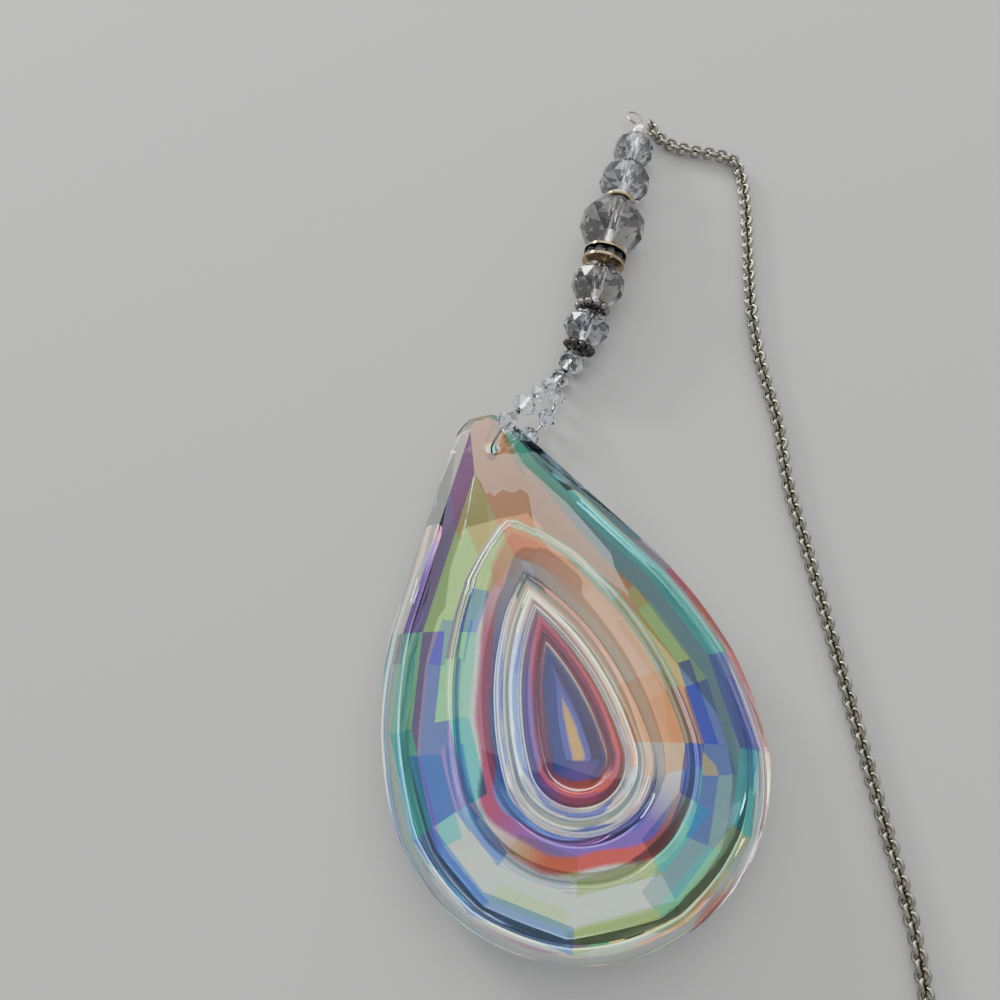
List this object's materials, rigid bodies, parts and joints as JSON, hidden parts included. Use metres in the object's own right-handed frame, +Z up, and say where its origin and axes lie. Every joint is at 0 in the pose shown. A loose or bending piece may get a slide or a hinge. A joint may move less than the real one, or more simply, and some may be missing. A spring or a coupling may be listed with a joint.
{
  "type": "crystal suncatcher",
  "caption": "Pear-shaped faceted crystal drop with nested rings pressed in its back, hung on a string of cut-glass beads and metal spacers with a fine chain.",
  "frame": {"origin": "on the table below the middle of the prism and bead string's bounding box, without the chain and its end ring", "axes": "+Z up with the prism lying on its back, +Y along the prism from its round end to its hole end, +X to the right seen from above"},
  "size_m": [0.0787, 0.1572, 0.0133],
  "materials": {
    "crystal": "clear cut crystal with an iridescent coating on the back",
    "clear": "clear cut glass",
    "smoky": "pale smoky cut glass",
    "silver": "polished antique silver",
    "dark_silver": "blackened silver",
    "gold": "polished pale gold",
    "wire": "drawn beading wire",
    "chain_silver": "antique silver plate"
  },
  "bodies": {
    "root": {"prism": "crystal", "leg_top_bead": "clear", "small_round_bead": "clear", "dark_daisy_spacer": "dark_silver", "lower_faceted_bead": "clear", "silver_daisy_spacer": "silver", "middle_smoky_bead": "smoky", "rhinestone_rondelle": "gold", "large_round_bead": "smoky", "gold_ring_spacer": "gold", "upper_faceted_bead": "clear", "top_rondelle_bead": "clear", "crimp_bead": "silver", "front_leg_bead_1": "clear", "front_leg_bead_2": "clear", "front_leg_bead_3": "clear", "front_leg_bead_4": "clear", "back_leg_bead_1": "clear", "back_leg_bead_2": "clear", "back_leg_bead_3": "clear", "beading_wire": "wire", "chain": "chain_silver", "end_ring": "silver"}
  },
  "joints": []
}
